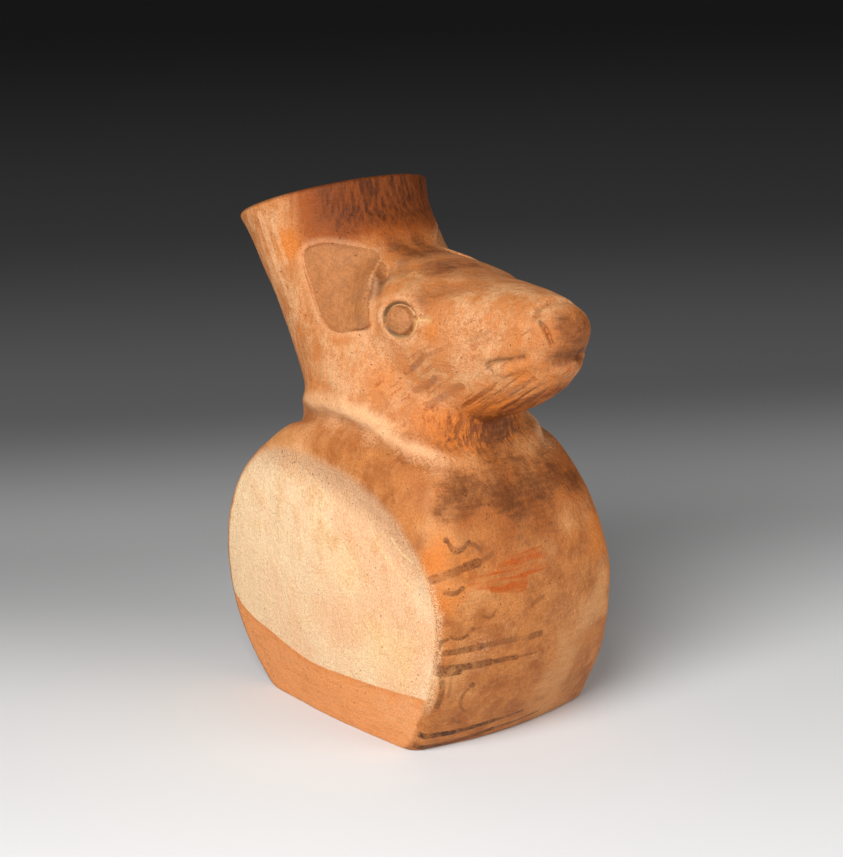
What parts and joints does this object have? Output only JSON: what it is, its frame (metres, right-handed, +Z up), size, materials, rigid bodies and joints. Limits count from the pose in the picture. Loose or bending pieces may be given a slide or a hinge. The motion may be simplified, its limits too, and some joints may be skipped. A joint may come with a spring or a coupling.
{
  "type": "flat-sided jar",
  "caption": "Hollow pottery jar with two flat sides, a bulging band, a leaning round spout and an animal's head looking forward from the neck.",
  "frame": {"origin": "middle of the flat foot, on the surface that the jar stands on", "axes": "+Z up, the animal looks along -Y, the spout leans back along +Y, the flat sides face +X and -X"},
  "size_m": [0.0902, 0.1621, 0.189],
  "materials": {
    "clay": "burnished and slipped earthenware, worn, satin to matt"
  },
  "bodies": {
    "root": {"jar": "clay"}
  },
  "joints": []
}
